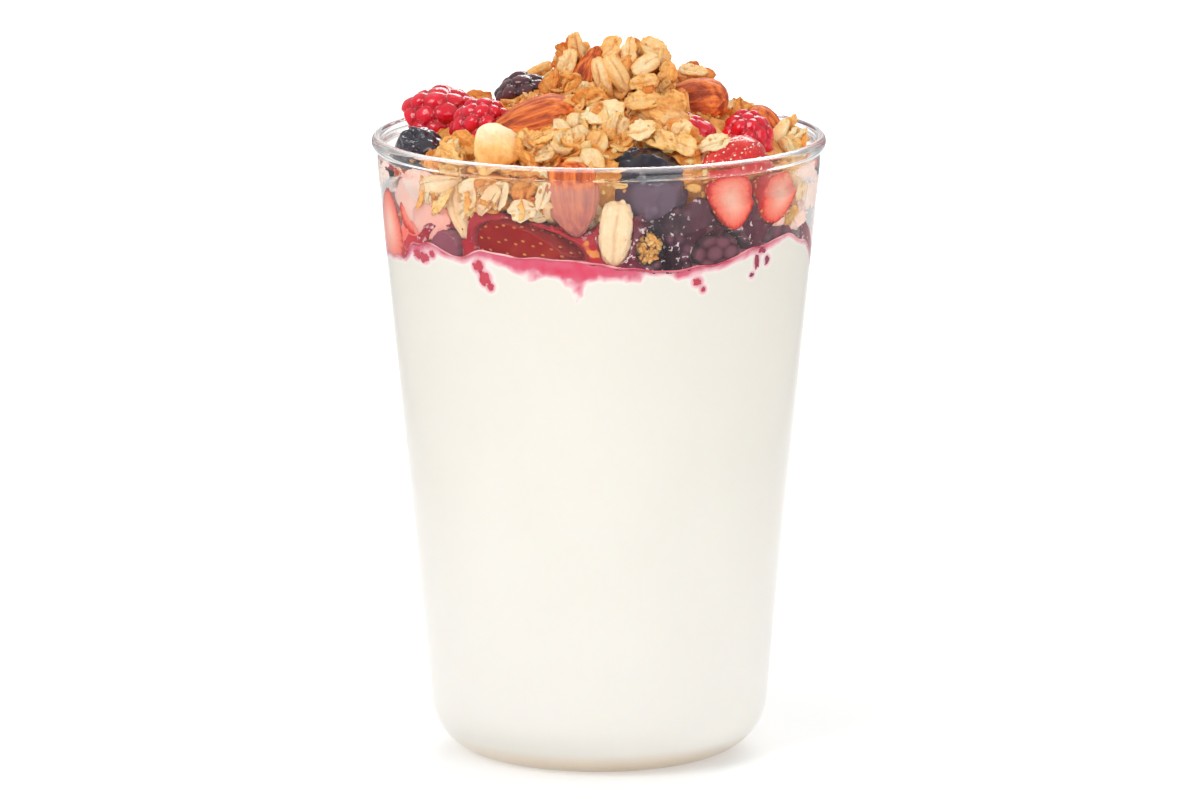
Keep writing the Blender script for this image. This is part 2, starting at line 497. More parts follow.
def frame_of(centre, long, face):
    """Origin and axes of a topping: X along long, Z as near to face as can be."""
    x = Vector(long).normalized()
    y = Vector(face).cross(x).normalized()
    return np.array(centre, float), np.array([x, y, x.cross(y)])


def placed(points, centre, long, face):
    """Points of a topping's own frame, moved to where the topping lies."""
    origin, axes = frame_of(centre, long, face)
    return points @ axes + origin


def joined(shapes):
    """One array of points and one of triangles from many."""
    start = 0
    points, faces = [], []
    for some, their_faces in shapes:
        points.append(some)
        faces.append(their_faces + start)
        start += len(some)
    return np.concatenate(points), np.concatenate(faces)


def add_piece(name, shape, materials, nodes=(), own=None, indices=None, tint=None):
    """A piece of the part from points in mm and triangles. It rides on the one body of the row."""
    points, faces = shape
    mesh = bpy.data.meshes.new(name)
    mesh.from_pydata((points * MM).tolist(), [], faces.tolist())
    for material in materials:
        mesh.materials.append(material)
    if indices is not None:
        mesh.polygons.foreach_set("material_index", indices.astype(np.int32))
    if own is not None:
        mesh.attributes.new("own", "FLOAT_VECTOR", "POINT").data.foreach_set("vector", own.ravel())
    if tint is not None:
        mesh.attributes.new("tint", "FLOAT", "POINT").data.foreach_set("value", tint)
    mesh.shade_smooth()
    obj = bpy.data.objects.new(name, mesh)
    bpy.context.scene.collection.objects.link(obj)
    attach(obj, "root")
    if nodes:
        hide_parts(*nodes)


# ---------------------------------------------------------------- materials


class Nodes:
    """Short calls for building the nodes of a new material, or of the world."""

    def __init__(self, owner):
        self.owner = bpy.data.materials.new(owner) if isinstance(owner, str) else owner
        self.owner.use_nodes = True
        self.tree = self.owner.node_tree
        self.shader = self.tree.nodes.get("Principled BSDF")

    def put(self, target, value):
        if isinstance(value, bpy.types.NodeSocket):
            self.tree.links.new(value, target)
        elif isinstance(value, tuple) and len(value) == 3 and target.type == "RGBA":
            target.default_value = (*value, 1)
        else:
            target.default_value = value

    def add(self, kind, inputs=None, **settings):
        node = self.tree.nodes.new("ShaderNode" + kind)
        for key, value in settings.items():
            setattr(node, key, value)
        for key, value in (inputs or {}).items():
            self.put(node.inputs[key], value)
        return node

    def place(self, kind="Object"):
        return self.add("TexCoord").outputs[kind]

    def height(self):
        return self.split(self.place())[2]

    def own(self):
        return self.add("Attribute", attribute_name="own").outputs["Vector"]

    def tint(self):
        return self.add("Attribute", attribute_name="tint").outputs["Fac"]

    def scaled(self, vector, x, y, z):
        return self.add("Mapping", {"Vector": vector, "Scale": (x, y, z)}).outputs["Vector"]

    def split(self, vector):
        return self.add("SeparateXYZ", {"Vector": vector}).outputs

    def noise(self, vector, scale, detail=3.0, rough=0.5, distortion=0.0):
        inputs = {"Vector": vector, "Scale": scale, "Detail": detail, "Roughness": rough}
        return self.add("TexNoise", {**inputs, "Distortion": distortion}).outputs["Fac"]

    def cells(self, vector, scale):
        return self.add("TexVoronoi", {"Vector": vector, "Scale": scale}).outputs["Distance"]

    def maths(self, operation, first, second=0.0):
        return self.add("Math", {0: first, 1: second}, operation=operation).outputs[0]

    def plus(self, first, second):
        return self.maths("ADD", first, second)

    def less(self, first, second):
        return self.maths("SUBTRACT", first, second)

    def times(self, first, second):
        return self.maths("MULTIPLY", first, second)

    def swing(self, value, strength):
        """Noise from 0 to 1, turned into a swing of this strength about 0."""
        return self.times(self.less(value, 0.5), strength)

    def length(self, x, y):
        return self.maths("SQRT", self.plus(self.times(x, x), self.times(y, y)))

    def span(self, value, low, high, first=0.0, last=1.0):
        """From first at a value of low to last at high, and level beyond them."""
        inputs = {"Value": value, "From Min": low, "From Max": high, "To Min": first, "To Max": last}
        return self.add("MapRange", inputs).outputs["Result"]

    def ramp(self, value, *stops):
        """Colours, or shares as greys, eased in between the places of the stops."""
        node = self.add("ValToRGB", {"Fac": value})
        ramp = node.color_ramp
        for index, (place, colour) in enumerate(stops):
            at = ramp.elements[index] if index < 2 else ramp.elements.new(place)
            at.position = place
            at.color = (*colour, 1) if isinstance(colour, tuple) else (colour, colour, colour, 1)
        return node.outputs["Color"]

    def mix(self, share, first, second):
        return self.add("Mix", {0: share, 6: first, 7: second}, data_type="RGBA").outputs[2]

    def bump(self, height, distance):
        """Relief of this depth in mm."""
        inputs = {"Height": height, "Distance": distance * MM, "Strength": 1.0}
        return self.add("Bump", inputs).outputs["Normal"]

    def finish(self, **inputs):
        """Sets the Principled shader's sockets by name, with _ for a space."""
        for key, value in inputs.items():
            self.put(self.shader.inputs[key.replace("_", " ")], value)
        return self.owner

    def food(self, colour, roughness, specular, glow, normal, **others):
        """Finishes a shader that light soaks into: glow is its weight, how far green and blue go for 1
        of red, and how far red goes in mm."""
        weight, green, blue, reach = glow
        return self.finish(
            Base_Color=colour, Roughness=roughness, Specular_IOR_Level=specular, Normal=normal,
            Subsurface_Weight=weight, Subsurface_Radius=(1.0, green, blue), Subsurface_Scale=reach * MM,
            **others,
        )


def glass_material():
    """Clear glass that lets lamps through."""
    n = Nodes("clear_glass")
    n.finish(Base_Color=(0.99, 0.985, 0.977), Roughness=0.0, IOR=1.5, Transmission_Weight=1.0)
    clear = n.add("BsdfTransparent", {"Color": (0.97, 0.975, 0.97)}).outputs["BSDF"]
    path = n.add("LightPath").outputs
    lit = n.maths("MAXIMUM", path["Is Shadow Ray"], path["Is Diffuse Ray"])
    mixed = n.add("MixShader", {0: lit, 1: n.shader.outputs["BSDF"], 2: clear})
    n.put(n.tree.nodes["Material Output"].inputs["Surface"], mixed.outputs["Shader"])
    return n.owner


def yogurt_material():
    """Near-white yogurt, cooler towards the foot, with juice soaked in by the attribute tint."""
    n = Nodes("yogurt")
    place, height = n.place(), n.height()
    soft = n.noise(place, 60, 2.0, 0.5)
    warm = n.mix(soft, (0.73, 0.695, 0.625), (0.754, 0.72, 0.653))
    cool = n.mix(soft, (0.832, 0.805, 0.755), (0.85, 0.825, 0.778))
    plain = n.mix(n.span(height, 0.015, 0.1), cool, warm)
    plain = n.mix(n.span(height, 0.0032, 0.0055), (0.8, 0.67, 0.53), plain)
    soaked = n.times(n.tint(), n.plus(0.66, n.times(n.noise(place, 330, 4.0, 0.6), 0.62)))
    pale, rose = (0.0, (0.93, 0.9, 0.86)), (0.25, (0.8, 0.49, 0.52))
    pink = n.ramp(soaked, pale, rose, (0.6, (0.64, 0.125, 0.2)), (1.0, (0.66, 0.045, 0.1)))
    colour = n.mix(n.ramp(soaked, (0.0, 0.0), (0.2, 1.0)), plain, pink)
    return n.food(colour, 0.5, 0.1, (0.25, 0.6, 0.4, 3), n.bump(n.noise(place, 220, 2.0), 0.05))


def compote_material():
    """Juicy crushed fruit, from deep red to near black with mauve beads and pale glints, by the tint."""
    n = Nodes("compote")
    place, dark = n.place(), n.tint()
    blot = n.noise(place, 120, 3.0, 0.55, 0.6)
    tone = n.plus(n.times(dark, 0.75), n.times(blot, 0.5))
    red, wine, black = (0.22, (0.55, 0.02, 0.03)), (0.5, (0.22, 0.012, 0.028)), (0.95, (0.014, 0.003, 0.007))
    cloudy = n.ramp(n.noise(place, 75, 4.0, 0.6, 0.8), (0.44, 0.0), (0.68, 0.5))
    cloudy = n.times(cloudy, n.ramp(dark, (0.3, 0.0), (0.7, 1.0)))
    colour = n.mix(cloudy, n.ramp(tone, red, wine, black), (0.17, 0.07, 0.1))
    bead = n.ramp(n.cells(place, 420), (0.1, 0.75), (0.5, 0.0))
    mauve = n.ramp(blot, (0.35, (0.06, 0.015, 0.03)), (0.7, (0.36, 0.16, 0.2)))
    colour = n.mix(n.times(bead, n.ramp(dark, (0.25, 0.15), (0.6, 0.9))), colour, mauve)
    seedy = n.ramp(n.noise(place, 330, 1.0, 0.4), (0.69, 0.0), (0.74, 0.8))
    colour = n.mix(n.times(seedy, n.ramp(dark, (0.2, 1.0), (0.5, 0.0))), colour, (0.75, 0.3, 0.07))
    glint = n.ramp(n.noise(place, 900, 2.0, 0.6), (0.6, 0.0), (0.66, 0.8))
    colour = n.mix(n.times(glint, n.ramp(blot, (0.42, 0.0), (0.54, 1.0))), colour, (0.85, 0.66, 0.68))
    return n.food(colour, 0.4, 0.1, (0.15, 0.25, 0.25, 1.5), n.bump(n.noise(place, 520, 3.0, 0.6), 0.25))


def juice_line_material():
    """The wet edge where the juice meets the glass."""
    n = Nodes("juice_edge")
    pale = n.ramp(n.noise(n.place(), 130, 2.0), (0.4, (0.5, 0.03, 0.07)), (0.62, (0.9, 0.42, 0.44)))
    return n.finish(Base_Color=pale, Roughness=0.1, Subsurface_Weight=0.2, Subsurface_Scale=0.001)


def smear_material():
    """Thin yogurt on the glass, from cream to red by the attribute tint."""
    n = Nodes("yogurt_smear")
    cloud = n.noise(n.place(), 180, 4.0, 0.6, 0.4)
    tone = n.plus(n.times(n.tint(), 0.5), n.times(cloud, 0.4))
    colour = n.ramp(tone, (0.2, (0.93, 0.82, 0.73)), (0.5, (0.93, 0.56, 0.46)), (0.95, (0.86, 0.14, 0.1)))
    return n.food(colour, 0.5, 0.1, (0.2, 0.5, 0.4, 2), n.bump(cloud, 0.1))


def drupe_material(name, low, mid, high, roughness, glow, gloss=1.0):
    """Drupelets, deeper in colour in the creases. The attribute tint is 0 in a crease and 1 on a bead."""
    n = Nodes(name)
    place = n.place()
    shifted = n.plus(n.tint(), n.swing(n.noise(place, 260, 3.0, 0.6), 0.5))
    return n.food(
        n.ramp(shifted, (0.05, low), (0.5, mid), (1.0, high)), roughness, 0.12 + 0.18 * gloss,
        (glow, 0.2, 0.15, 1.6), n.bump(n.noise(place, 900, 2.0), 0.06),
        Coat_Weight=0.55 * gloss, Coat_Roughness=0.05,
    )


def haze_below_rim(n, strength):
    """A share that is strong where juice smears the glass and fades out under the rim."""
    return n.times(n.less(1.0, n.span(n.height(), *HAZE_FADES)), strength)


def blueberry_material(name, gloss, haze=0.0, smear=(0.17, 0.1, 0.145)):
    n = Nodes(name)
    place = n.place()
    cloud = n.noise(place, 130, 4.0, 0.6, 0.5)
    black, blue, dust = (0.3, (0.006, 0.004, 0.008)), (0.55, (0.02, 0.014, 0.028)), (0.75, (0.08, 0.06, 0.1))
    skin = n.ramp(cloud, black, blue, dust)
    if haze:
        skin = n.mix(n.times(haze_below_rim(n, haze), n.ramp(cloud, (0.3, 0.7), (0.6, 1.0))), skin, smear)
    return n.finish(
        Base_Color=skin, Roughness=n.ramp(cloud, (0.35, 0.14), (0.7, 0.34)),
        Specular_IOR_Level=0.12 + 0.38 * gloss, Coat_Weight=0.8 * gloss, Coat_Roughness=0.06,
        Normal=n.bump(n.noise(place, 700, 3.0), 0.06),
    )


def almond_material(name, haze):
    """Brown skin with fine wrinkles along the nut. The attribute tint is the height of a wrinkle."""
    n = Nodes(name)
    place = n.place()
    along = n.noise(n.scaled(n.own(), 1.1, 9, 9), 1.6, 5.0, 0.65)
    height = n.plus(n.times(along, 0.6), n.times(n.tint(), 0.4))
    dark, brown, pale = (0.26, (0.26, 0.032, 0.008)), (0.48, (0.62, 0.105, 0.018)), (0.74, (0.92, 0.27, 0.05))
    dust = n.ramp(n.noise(place, 900, 3.0, 0.7), (0.58, 0.0), (0.78, 0.3))
    skin = n.mix(dust, n.ramp(height, dark, brown, pale), (0.8, 0.38, 0.17))
    if haze:
        smear = n.ramp(n.height(), (0.108, (0.36, 0.12, 0.13)), (HAZE_FADES[0], (0.6, 0.27, 0.22)))
        skin = n.mix(haze_below_rim(n, haze), skin, smear)
    return n.food(
        skin, n.ramp(along, (0.3, 0.38), (0.7, 0.55)), 0.15 if haze else 0.35,
        (0.1, 0.4, 0.2, 1), n.bump(n.plus(along, n.noise(place, 1400, 2.0)), 0.2),
    )


def strawberry_skin(name, gloss, depth):
    """Red skin, multiplied by depth. Glossy skin also has pale specks of light."""
    n = Nodes(name)
    place = n.place()
    stops = (0.3, (0.42, 0.01, 0.012)), (0.55, (0.62, 0.022, 0.02)), (0.75, (0.78, 0.08, 0.05))
    stops = [(at, tuple(part * depth for part in colour)) for at, colour in stops]
    skin = n.ramp(n.noise(place, 150, 3.0, 0.5), *stops)
    if gloss:
        specks = n.ramp(n.noise(place, 1300, 2.0, 0.6), (0.63, 0.0), (0.7, 0.6))
        skin = n.mix(specks, skin, (0.9, 0.42, 0.36))
    return n.food(
        skin, 0.22, 0.12 + 0.18 * gloss, (0.25, 0.25, 0.15, 1.8), n.bump(n.noise(place, 800, 3.0), 0.1),
        Coat_Weight=0.4 * gloss, Coat_Roughness=0.1,
    )


def strawberry_flesh():
    """Cut face: a pale middle, rays of fibres, and red at the edge."""
    n = Nodes("strawberry_flesh")
    x, y, _ = n.split(n.own())
    out = n.length(x, y)
    turn = n.maths("ARCTAN2", y, n.plus(x, 0.35))
    rays_at = n.add("CombineXYZ", {"X": n.times(turn, 7.0), "Y": n.times(out, 1.2)})
    rays = n.noise(rays_at.outputs["Vector"], 1.3, 3.0, 0.6)
    middle, rose = (0.12, (0.93, 0.5, 0.38)), (0.5, (0.9, 0.3, 0.21))
    red, edge = (0.84, (0.84, 0.13, 0.08)), (0.96, (0.62, 0.02, 0.015))
    tone = n.ramp(n.plus(out, n.swing(rays, 0.34)), middle, rose, red, edge)
    return n.food(
        tone, 0.3, 0.15, (0.35, 0.4, 0.3, 2), n.bump(n.plus(rays, n.noise(n.place(), 900, 2.0)), 0.12),
    )


def seed_material(name, gloss, low, high):
    n = Nodes(name)
    tone = n.ramp(n.noise(n.place(), 320, 1.0), (0.3, low), (0.7, high))
    return n.finish(
        Base_Color=tone, Roughness=0.3, Specular_IOR_Level=0.12 + 0.38 * gloss, Coat_Weight=0.4 * gloss,
        Coat_Roughness=0.1,
    )


def by_the_glass(n):
    """A share that is above 0 only for what is pressed to the glass, where yogurt smears it."""
    x, y, height = n.split(n.place())
    near = n.span(n.length(x, y), 0.036, 0.039, 0.0, 0.5)
    return n.times(near, n.span(height, *reversed(HAZE_FADES)))


def oat_material(name, stops, shift, smeared):
    """Toasted oat flakes. The attribute tint tells flakes apart, own is a point's place on its flake."""
    n = Nodes(name)
    place, own = n.place(), n.own()
    x, y, _ = n.split(own)
    blot = n.noise(place, 240, 4.0, 0.6, 0.4)
    fine = n.noise(place, 1500, 3.0, 0.65)
    stripes = n.noise(n.scaled(own, 1.2, 9, 1), 1.7, 3.0, 0.6)
    edge = n.times(n.maths("POWER", n.length(x, y), 4.0), 0.12)
    higher = n.plus(n.span(n.height(), 0.123, 0.131, 0.0, 0.1), shift)
    toast = n.plus(n.times(blot, 0.7), n.times(n.tint(), 0.34))
    for more in (edge, n.swing(stripes, 0.3), n.swing(fine, 0.34), higher):
        toast = n.plus(toast, more)
    crease = n.ramp(n.maths("ABSOLUTE", y), (0.0, 0.55), (0.16, 0.0))
    crease = n.times(crease, n.ramp(blot, (0.42, 0.0), (0.58, 1.0)))
    tone = n.mix(crease, n.ramp(toast, *stops), (0.55, 0.2, 0.05))
    specks = n.ramp(n.noise(place, 700, 2.0, 0.5), (0.68, 0.0), (0.76, 0.6))
    tone = n.mix(specks, tone, (0.36, 0.14, 0.04))
    if smeared:
        tone = n.mix(by_the_glass(n), tone, (1.0, 0.74, 0.53))
    return n.food(
        tone, n.ramp(blot, (0.35, 0.4), (0.65, 0.6)), 0.2, (0.2, 0.55, 0.28, 1.4),
        n.bump(n.plus(n.times(stripes, 0.8), fine), 0.3),
    )


def core_material():
    """Crumbly fused oats and syrup between the flakes."""
    n = Nodes("granola_core")
    place = n.place()
    blot = n.noise(place, 260, 5.0, 0.65, 0.5)
    tone = n.ramp(blot, (0.3, (0.5, 0.15, 0.025)), (0.5, (0.82, 0.34, 0.07)), (0.68, (0.98, 0.6, 0.22)))
    return n.food(
        tone, n.ramp(blot, (0.35, 0.4), (0.6, 0.6)), 0.2, (0.12, 0.5, 0.25, 1.2),
        n.bump(n.noise(place, 1100, 4.0, 0.7), 0.4),
    )


def nut_material():
    """A blanched nut, toasted at its lower edge."""
    n = Nodes("pale_nut")
    place = n.place()
    fade = n.plus(n.span(n.height(), 0.12, 0.1285), n.swing(n.noise(place, 420, 4.0, 0.6), 0.7))
    tone = n.ramp(fade, (0.05, (0.7, 0.27, 0.05)), (0.42, (0.88, 0.52, 0.19)), (0.85, (0.95, 0.8, 0.55)))
    return n.food(tone, 0.5, 0.25, (0.15, 0.6, 0.3, 2), n.bump(n.noise(place, 900, 3.0), 0.2))


# ---------------------------------------------------------------- glass and what fills it


def corner_arc(wall_radius_at_base, floor, radius, steps):
    """The rounded corner between a floor and the sloping wall, from the floor outwards."""
    z = floor + radius
    centre = wall_radius_at_base + WALL_SLOPE * z - radius * math.hypot(1, WALL_SLOPE)
    angles = np.linspace(-math.pi / 2, -math.atan(WALL_SLOPE), steps + 1)
    return [(centre + radius * math.cos(a), z + radius * math.sin(a)) for a in angles]


def smoothed(points, times):
    """An open line of points with its corners cut, its ends kept."""
    for _ in range(times):
        cut = [points[0]]
        for (a, b), (c, d) in zip(points, points[1:]):
            cut += [(0.75 * a + 0.25 * c, 0.75 * b + 0.25 * d), (0.25 * a + 0.75 * c, 0.25 * b + 0.75 * d)]
        points = [*cut, points[-1]]
    return points


def rim_profile():
    """Up the outside of the wall, over the rolled rim and down the inside."""
    outer = WALL_RADIUS_AT_BASE + WALL_SLOPE * RIM_FOOT
    inner = cavity_radius(RIM_FOOT)
    (across, up), (half_across, half_up) = RIM_CENTRE, RIM_HALF
    first, turned = RIM_ROLL
    roll = []
    for step in range(RIM_STEPS + 1):
        angle = math.radians(first + turned * step / RIM_STEPS)
        roll.append((across + half_across * math.cos(angle), up + half_up * math.sin(angle)))
    low = RIM_FOOT - 5.3
    before = smoothed([(outer - 0.5, low), (outer, RIM_FOOT), (outer + 0.06, 117.9), (43.1, 118.5)], 2)
    after = smoothed([(42.02, 119.2), (41.7, 117.4), (inner, RIM_FOOT), (inner - 0.5, low)], 2)
    return [*before, *roll, *after]


def add_glass():
    foot = corner_arc(WALL_RADIUS_AT_BASE, 0, FOOT_CORNER, 16)
    floor = corner_arc(WALL_RADIUS_AT_BASE - WALL_THICKNESS, FLOOR_THICKNESS, CAVITY_CORNER, 14)
    punt = smoothed([(4.0, PUNT_DEPTH), (PUNT_RADIUS - 2.5, PUNT_DEPTH), (PUNT_RADIUS, 0), foot[0]], 2)
    profile = np.array([*punt[:-1], *foot, *rim_profile(), *reversed(floor)])
    rings = round_axis(angles_round(GLASS_SIDES), profile[:, :1], profile[:, 1:])
    shape = ringed(rings, (0, 0, PUNT_DEPTH), (0, 0, FLOOR_THICKNESS))
    add_piece("clear_glass", shape, [glass_material()], ["glass"])


def round_shreds(degrees, heights):
    """How much juice has run from the shreds of fruit into the yogurt round them."""
    juice = np.zeros(heights.shape)
    for at, z, wide, high, red in SHREDS:
        across = ((degrees - at + 180) % 360 - 180) * WALL_MM_PER_DEGREE
        away = np.hypot(across / (wide + HALO), (heights - z) / (high + HALO))
        juice = np.maximum(juice, (0.35 + 0.3 * red) * bump_at(away, 1.15))
    return juice


def soaked(degrees, below):
    """How much juice there is in the yogurt at the wall, at a depth in mm below its line."""
    depth = turned_rows(STAIN, degrees)
    places = np.stack([degrees * 0.7, below, 0 * below], -1).reshape(-1, 3)
    ragged = roughness_at(places, 0.32, 4, 3).reshape(below.shape)
    strength = np.clip(0.45 + depth / 6, 0, 0.95)
    fade = np.clip((depth * (1 + 0.35 * ragged) - below) / (0.8 + 0.5 * depth) + 0.5, 0, 1)
    return strength * fade * (0.86 + 0.3 * ragged)


def add_yogurt():
    """Up to its wavy line, with fine rows of points where the juice stains it."""
    wall = WALL_RADIUS_AT_BASE - WALL_THICKNESS + INTO_WALL
    floor = FLOOR_THICKNESS - 0.2
    corner = corner_arc(wall, floor, CAVITY_CORNER, 12)
    angles = angles_round(CONTENT_SIDES)
    line = yogurt_line(angles)
    coarse = np.linspace(corner[-1][1] + 3, FINE_FROM, 12)[:, None] + 0 * line
    fine = FINE_FROM + (line - FINE_FROM) * np.linspace(0, 1, 56)[1:, None]
    heights = np.concatenate([coarse, fine])
    foot = [round_axis(angles, radius, z) for radius, z in corner]
    top = surface_rings(yogurt_top, (39, 36, 32, 26, 18, 9), CONTENT_SIDES)
    rings = np.concatenate([foot, on_wall(angles, heights, INTO_WALL), top])
    below = np.full(rings.shape[:2], 99.0)
    below[len(foot) : -len(top)] = line - heights
    below[-len(top) :] = 0
    every = angles + 0 * below
    juice = np.maximum(soaked(every, below), round_shreds(every, line - below))
    tint = np.concatenate([juice.ravel(), [0, 1]])
    shape = ringed(rings, (0, 0, floor), (0, 0, YOGURT_CENTRE))
    add_piece("set_yogurt", shape, [yogurt_material()], ["yogurt"], tint=tint)


def depth_in_toppings(points, grow):
    """For each point, how far inside the nearest topping it lies: above 0 inside, in shares of its size."""
    deepest = np.full(len(points), -9.0)
    for _, centre, long, face, half in TOPPINGS:
        origin, axes = frame_of(centre, long, face)
        size = np.array([half[0], half[1], half[-1]]) + grow
        deepest = np.maximum(deepest, 1 - np.linalg.norm((points - origin) @ axes.T / size, axis=1))
    return deepest


def add_compote():
    """Between the yogurt and the granola, out into the wall except where a fruit is pressed to it."""
    sides = CONTENT_SIDES
    angles = angles_round(sides)
    edge = np.stack([angles * 0.7, 0 * angles, 0 * angles], 1)
    rise = turned_rows(COMPOTE_RISE, angles) + 0.7 * roughness_at(edge, 0.35, 12, 3)
    shares = np.linspace(0, 1, COMPOTE_ROWS)
    heights = yogurt_line(angles) - COMPOTE_SUNK_AT_WALL + (rise + COMPOTE_SUNK_AT_WALL) * shares[:, None]
    rings = on_wall(angles, heights, INTO_WALL)
    flat = rings.reshape(-1, 3)
    radius = from_axis(flat)
    inward = 0.5, PRESSED_FROM, 1.8, 2.6
    deepest = np.max([depth_in_toppings(pulled_in(flat, 1 - each / radius), 0) for each in inward], axis=0)
    inset = INSET_AT_FRUIT * np.clip(0.4 + 7 * deepest, 0, 1)
    inset = np.maximum(inset, INSET_AT_TOP * np.repeat(shares, sides) ** 4)
    flat[:, :2] *= (1 - inset / radius)[:, None]
    bottom = surface_rings(lambda a, r: yogurt_top(a, r) - COMPOTE_SUNK, (10, 20, 28, 34, 38.5), sides)
    top = surface_rings(compote_top, (39.4, 38.6, 37.6, 36.4, 35, 33, 30, 26, 21, 15, 8), sides)
    top[:, :, 2] += 0.7 * roughness_at(top.reshape(-1, 3), 0.24, 6, 3).reshape(top.shape[:2])
    rings = np.concatenate([bottom, flat.reshape(rings.shape), top])
    shape = ringed(rings, (0, 0, YOGURT_CENTRE - COMPOTE_SUNK), (0, 0, COMPOTE_CENTRE))
    tint = np.tile(turned_rows(COMPOTE_TONE, angles), len(rings))
    tint = np.concatenate([tint, [0.5, 0.5]])
    add_piece("crushed_berries", shape, [compote_material()], ["berry_compote"], tint=tint)


def add_juice_edge():
    """A closed tube on the wall along the line of the yogurt. Its thickness wanders."""
    steps, sides = 720, 8
    angles = angles_round(steps)
    centre = on_wall(angles, yogurt_line(angles) + 0.1, INTO_WALL + 0.06)
    outward = round_axis(angles, 1, 0)
    thick = 0.2 * (1 + 0.35 * roughness_at(centre, 0.35, 2, 2))
    rings = []
    for side in range(sides):
        angle = math.tau * side / sides
        across = outward * (0.6 * thick * math.cos(angle))[:, None]
        rings.append(centre + across + UP * (thick * math.sin(angle))[:, None])
    faces = np.concatenate([band(side * steps, (side + 1) % sides * steps, steps) for side in range(sides)])
    add_piece("juice_edge", (np.concatenate(rings), faces), [juice_line_material()])


def blobs_on_wall(rows, level, seed, relief, deep, thick):
    """Uneven blobs whose middles lie deep mm inside the wall, and how red each point is."""
    strength, scale, octaves = relief
    pieces, tints = [], []
    for index, (degrees, z, wide, high, red, proud) in enumerate(rows):
        points, faces = ico_ball(level)
        points = points * (1 + strength * roughness_at(points, scale, seed + index, octaves))[:, None]
        centre = on_wall(np.array([degrees]), np.array([z]), -deep)[0]
        outward = np.array(way_out(degrees))
        across = np.array((-outward[1], outward[0], 0))
        local = points[:, :1] * wide * across + points[:, 1:2] * thick * outward
        pieces.append((clamp_to_wall(centre + (local + points[:, 2:] * high * UP), proud), faces))
        tints.append(np.full(len(points), red))
    return joined(pieces), np.concatenate(tints)


def add_shreds():
    rows = [(*row, INTO_WALL + 0.2) for row in SHREDS]
    shape, tint = blobs_on_wall(rows, 4, 0, (0.42, 1.5, 5), 0.5, 1.2)
    shades = (0.16, 0.03, 0.08), (0.42, 0.03, 0.07), (0.56, 0.05, 0.08)
    material = drupe_material("fruit_shred", *shades, 0.4, 0.3, 0.3)
    add_piece("fruit_shreds", shape, [material], tint=tint)


def add_smears():
    rows = [(*row[:5], row[5] + SMEAR_STEP * index) for index, row in enumerate(SMEARS)]
    shape, tint = blobs_on_wall(rows, 5, 60, (0.24, 1.4, 3), 1.5, 1.8)
    add_piece("yogurt_smears", shape, [smear_material()], tint=tint)


# ---------------------------------------------------------------- toppings


def behind_glass(centre):
    """Whether a topping is seen only through the glass."""
    return centre[2] < RIM_FOOT


def drupe_shape(half, seed, wrinkle, level):
    """A berry of 42 beads. Also returns how high each point lies on its bead."""
    ways, faces = ico_ball(level)
    peaks, _ = ico_ball(2)
    draw = random.Random(seed)
    near = np.arccos(np.clip(ways @ peaks.T, -1, 1))
    size = np.array([draw.uniform(0.9, 1.08) for _ in peaks])
    bead = np.sqrt(np.clip(1 - (near / (0.375 * size)) ** 2, 0, 1))
    height = bead.max(axis=1)
    tall = np.array([draw.uniform(0.93, 1.03) for _ in peaks])[bead.argmax(axis=1)]
    out = (0.775 + 0.225 * height) * (1 + (tall - 1) * height)
    out = out * (1 + wrinkle * roughness_at(ways, 4.2, seed, 3)) * (1 + 0.03 * roughness_at(ways, 1.1, seed))
    wide = half[1] * (1 - 0.12 * ways[:, 0]) * out
    along = np.maximum(ways[:, 0], -0.82) * half[0] * out
    along += half[0] * 0.5 * bump_at(ways[:, 0] + 1, 0.14)
    points = np.stack([along, ways[:, 1] * wide, ways[:, 2] * wide], 1)
    return (points, faces), height


def add_drupes(table, open_material, sunk_material, wrinkle):
    """Raspberries or brambles. The ones behind have fewer triangles."""
    for index, (name, centre, long, face, half) in enumerate(table):
        level = 6 if centre[1] < 10 else 5
        (points, faces), height = drupe_shape(half, 40 + index, wrinkle, level)
        points = pressed_to_wall(placed(points, centre, long, face))
        material = sunk_material if behind_glass(centre) else open_material
        add_piece("ripe_" + name, (points, faces), [material], [name], tint=height)


def blueberry_shape(half, seed):
    """A wrinkled berry with a star of five lobes round the pit at its crown."""
    ways, faces = unit_ball(84, 60)
    turn = np.arctan2(ways[:, 2], ways[:, 1])
    folds = roughness_at(ways * (0.7, 2.4, 2.4), 1.3, seed, 3)
    creases = -np.abs(roughness_at(ways, 1.7, seed + 5, 2))
    lobes = 0.16 + 0.05 * np.cos(5 * turn)
    from_pole = np.arccos(np.clip(ways[:, 0], -1, 1))
    out = 1 + 0.1 * (0.5 * folds + creases) + 0.075 * bump_at(from_pole - (0.24 + lobes), 0.13)
    points = ways * (half[0], half[1], half[1]) * out[:, None]
    points[:, 0] -= half[0] * 0.22 * bump_at(from_pole, 0.3 + 0.2 * lobes)
    return points, faces


def add_blueberries():
    dark = blueberry_material("blueberry", 1.0)
    dusty = blueberry_material("dusty_blueberry", 0.3, 0.85)
    stained = blueberry_material("stained_blueberry", 0.0, 0.9, (0.3, 0.075, 0.11))
    for index, (name, centre, long, face, half) in enumerate(BLUEBERRIES):
        points, faces = blueberry_shape(half, 60 + index)
        points = pressed_to_wall(placed(points, centre, long, face))
        low = stained if centre[2] < IN_COMPOTE else dusty
        material = low if behind_glass(centre) else dark
        add_piece("ripe_" + name, (points, faces), [material], [name])


